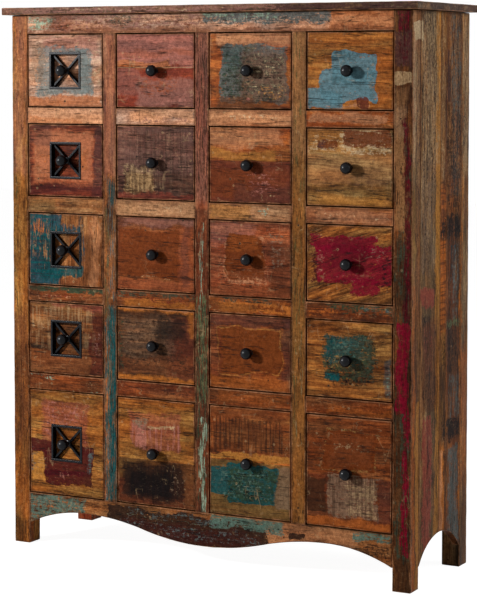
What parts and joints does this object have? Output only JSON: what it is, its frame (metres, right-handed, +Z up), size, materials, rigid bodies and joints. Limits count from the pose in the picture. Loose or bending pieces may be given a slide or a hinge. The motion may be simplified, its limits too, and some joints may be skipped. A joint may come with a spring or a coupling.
{
  "type": "chest of drawers",
  "caption": "Tall floor-standing chest of small drawers in worn painted timber, with black iron ball pulls, iron grilles on the left column and a wavy apron.",
  "frame": {"origin": "on the floor, in the middle of the box that holds the chest and pulls", "axes": "+X along the front to the right, +Y towards the back, +Z up"},
  "size_m": [1.09, 0.3614, 1.3],
  "materials": {
    "top_wood": "weathered grey-pink to brown boards under satin varnish",
    "post_wood": "orange-brown old timber with paint remains, satin varnish",
    "frame_wood": "tan and orange-brown old timber with mint and teal paint remains",
    "apron_paint": "grey-teal and maroon paint worn from the wood",
    "side_wood": "upright boards in brown, gold and grey-teal",
    "inner_wood": "plain planed softwood",
    "back_board": "plain brown board",
    "black_iron": "black wrought iron, satin",
    "drawer_r1c1": "grey and pink paint worn over tan wood",
    "drawer_r1c2": "red-brown paint worn in bands along the grain",
    "drawer_r1c3": "dark green-grey paint crackled over orange wood",
    "drawer_r1c4": "golden wood with a large light-blue patch",
    "drawer_r2c1": "red-brown paint over orange wood",
    "drawer_r2c2": "dark brown sawn wood with a striped tan patch",
    "drawer_r2c3": "pink-orange board above a dark red-brown one",
    "drawer_r2c4": "yellow-tan wood with red-brown paint left along the top",
    "drawer_r3c1": "teal and dark blue paint worn back to tan",
    "drawer_r3c2": "rust-brown paint with a worn edge",
    "drawer_r3c3": "rust-brown distressed paint",
    "drawer_r3c4": "golden wood with a crimson patch",
    "drawer_r4c1": "beige saw marks over red-brown and orange",
    "drawer_r4c2": "dark brown middle between orange bands",
    "drawer_r4c3": "rust rectangle with purple-brown edges",
    "drawer_r4c4": "golden striped wood with a worn teal patch",
    "drawer_r5c1": "tan and pink above dark maroon",
    "drawer_r5c2": "tan and pink sawn wood above dark brown",
    "drawer_r5c3": "brown sawn wood with a teal patch below",
    "drawer_r5c4": "red-brown paint with a beige sawn patch"
  },
  "bodies": {
    "case": {"front_left_post": "post_wood", "front_right_post": "post_wood", "rear_left_post": "post_wood", "rear_right_post": "post_wood", "top_board": "top_wood", "top_rail": "frame_wood", "left_stile": "frame_wood", "middle_stile": "frame_wood", "right_stile": "frame_wood", "rails_below_row_1": "frame_wood", "rails_below_row_2": "frame_wood", "rails_below_row_3": "frame_wood", "rails_below_row_4": "frame_wood", "apron": "apron_paint", "left_side_panel": "side_wood", "right_side_panel": "side_wood", "back_panel": "back_board", "bottom_panel": "inner_wood", "partitions": "inner_wood", "drawer_runners": "inner_wood"},
    "drawer_body_r1c1": {"drawer_r1c1": "drawer_r1c1", "pull_r1c1": "black_iron"},
    "drawer_body_r1c2": {"drawer_r1c2": "drawer_r1c2", "pull_r1c2": "black_iron"},
    "drawer_body_r1c3": {"drawer_r1c3": "drawer_r1c3", "pull_r1c3": "black_iron"},
    "drawer_body_r1c4": {"drawer_r1c4": "drawer_r1c4", "pull_r1c4": "black_iron"},
    "drawer_body_r2c1": {"drawer_r2c1": "drawer_r2c1", "pull_r2c1": "black_iron"},
    "drawer_body_r2c2": {"drawer_r2c2": "drawer_r2c2", "pull_r2c2": "black_iron"},
    "drawer_body_r2c3": {"drawer_r2c3": "drawer_r2c3", "pull_r2c3": "black_iron"},
    "drawer_body_r2c4": {"drawer_r2c4": "drawer_r2c4", "pull_r2c4": "black_iron"},
    "drawer_body_r3c1": {"drawer_r3c1": "drawer_r3c1", "pull_r3c1": "black_iron"},
    "drawer_body_r3c2": {"drawer_r3c2": "drawer_r3c2", "pull_r3c2": "black_iron"},
    "drawer_body_r3c3": {"drawer_r3c3": "drawer_r3c3", "pull_r3c3": "black_iron"},
    "drawer_body_r3c4": {"drawer_r3c4": "drawer_r3c4", "pull_r3c4": "black_iron"},
    "drawer_body_r4c1": {"drawer_r4c1": "drawer_r4c1", "pull_r4c1": "black_iron"},
    "drawer_body_r4c2": {"drawer_r4c2": "drawer_r4c2", "pull_r4c2": "black_iron"},
    "drawer_body_r4c3": {"drawer_r4c3": "drawer_r4c3", "pull_r4c3": "black_iron"},
    "drawer_body_r4c4": {"drawer_r4c4": "drawer_r4c4", "pull_r4c4": "black_iron"},
    "drawer_body_r5c1": {"drawer_r5c1": "drawer_r5c1", "pull_r5c1": "black_iron"},
    "drawer_body_r5c2": {"drawer_r5c2": "drawer_r5c2", "pull_r5c2": "black_iron"},
    "drawer_body_r5c3": {"drawer_r5c3": "drawer_r5c3", "pull_r5c3": "black_iron"},
    "drawer_body_r5c4": {"drawer_r5c4": "drawer_r5c4", "pull_r5c4": "black_iron"}
  },
  "joints": [
    {"name": "slide_r1c1", "type": "slide", "parent": "case", "child": "drawer_body_r1c1", "axis": [0, -1, 0], "range_m": [0, 0.22]},
    {"name": "slide_r1c2", "type": "slide", "parent": "case", "child": "drawer_body_r1c2", "axis": [0, -1, 0], "range_m": [0, 0.22]},
    {"name": "slide_r1c3", "type": "slide", "parent": "case", "child": "drawer_body_r1c3", "axis": [0, -1, 0], "range_m": [0, 0.22]},
    {"name": "slide_r1c4", "type": "slide", "parent": "case", "child": "drawer_body_r1c4", "axis": [0, -1, 0], "range_m": [0, 0.22]},
    {"name": "slide_r2c1", "type": "slide", "parent": "case", "child": "drawer_body_r2c1", "axis": [0, -1, 0], "range_m": [0, 0.22]},
    {"name": "slide_r2c2", "type": "slide", "parent": "case", "child": "drawer_body_r2c2", "axis": [0, -1, 0], "range_m": [0, 0.22]},
    {"name": "slide_r2c3", "type": "slide", "parent": "case", "child": "drawer_body_r2c3", "axis": [0, -1, 0], "range_m": [0, 0.22]},
    {"name": "slide_r2c4", "type": "slide", "parent": "case", "child": "drawer_body_r2c4", "axis": [0, -1, 0], "range_m": [0, 0.22]},
    {"name": "slide_r3c1", "type": "slide", "parent": "case", "child": "drawer_body_r3c1", "axis": [0, -1, 0], "range_m": [0, 0.22]},
    {"name": "slide_r3c2", "type": "slide", "parent": "case", "child": "drawer_body_r3c2", "axis": [0, -1, 0], "range_m": [0, 0.22]},
    {"name": "slide_r3c3", "type": "slide", "parent": "case", "child": "drawer_body_r3c3", "axis": [0, -1, 0], "range_m": [0, 0.22]},
    {"name": "slide_r3c4", "type": "slide", "parent": "case", "child": "drawer_body_r3c4", "axis": [0, -1, 0], "range_m": [0, 0.22]},
    {"name": "slide_r4c1", "type": "slide", "parent": "case", "child": "drawer_body_r4c1", "axis": [0, -1, 0], "range_m": [0, 0.22]},
    {"name": "slide_r4c2", "type": "slide", "parent": "case", "child": "drawer_body_r4c2", "axis": [0, -1, 0], "range_m": [0, 0.22]},
    {"name": "slide_r4c3", "type": "slide", "parent": "case", "child": "drawer_body_r4c3", "axis": [0, -1, 0], "range_m": [0, 0.22]},
    {"name": "slide_r4c4", "type": "slide", "parent": "case", "child": "drawer_body_r4c4", "axis": [0, -1, 0], "range_m": [0, 0.22]},
    {"name": "slide_r5c1", "type": "slide", "parent": "case", "child": "drawer_body_r5c1", "axis": [0, -1, 0], "range_m": [0, 0.22]},
    {"name": "slide_r5c2", "type": "slide", "parent": "case", "child": "drawer_body_r5c2", "axis": [0, -1, 0], "range_m": [0, 0.22]},
    {"name": "slide_r5c3", "type": "slide", "parent": "case", "child": "drawer_body_r5c3", "axis": [0, -1, 0], "range_m": [0, 0.22]},
    {"name": "slide_r5c4", "type": "slide", "parent": "case", "child": "drawer_body_r5c4", "axis": [0, -1, 0], "range_m": [0, 0.22]}
  ]
}
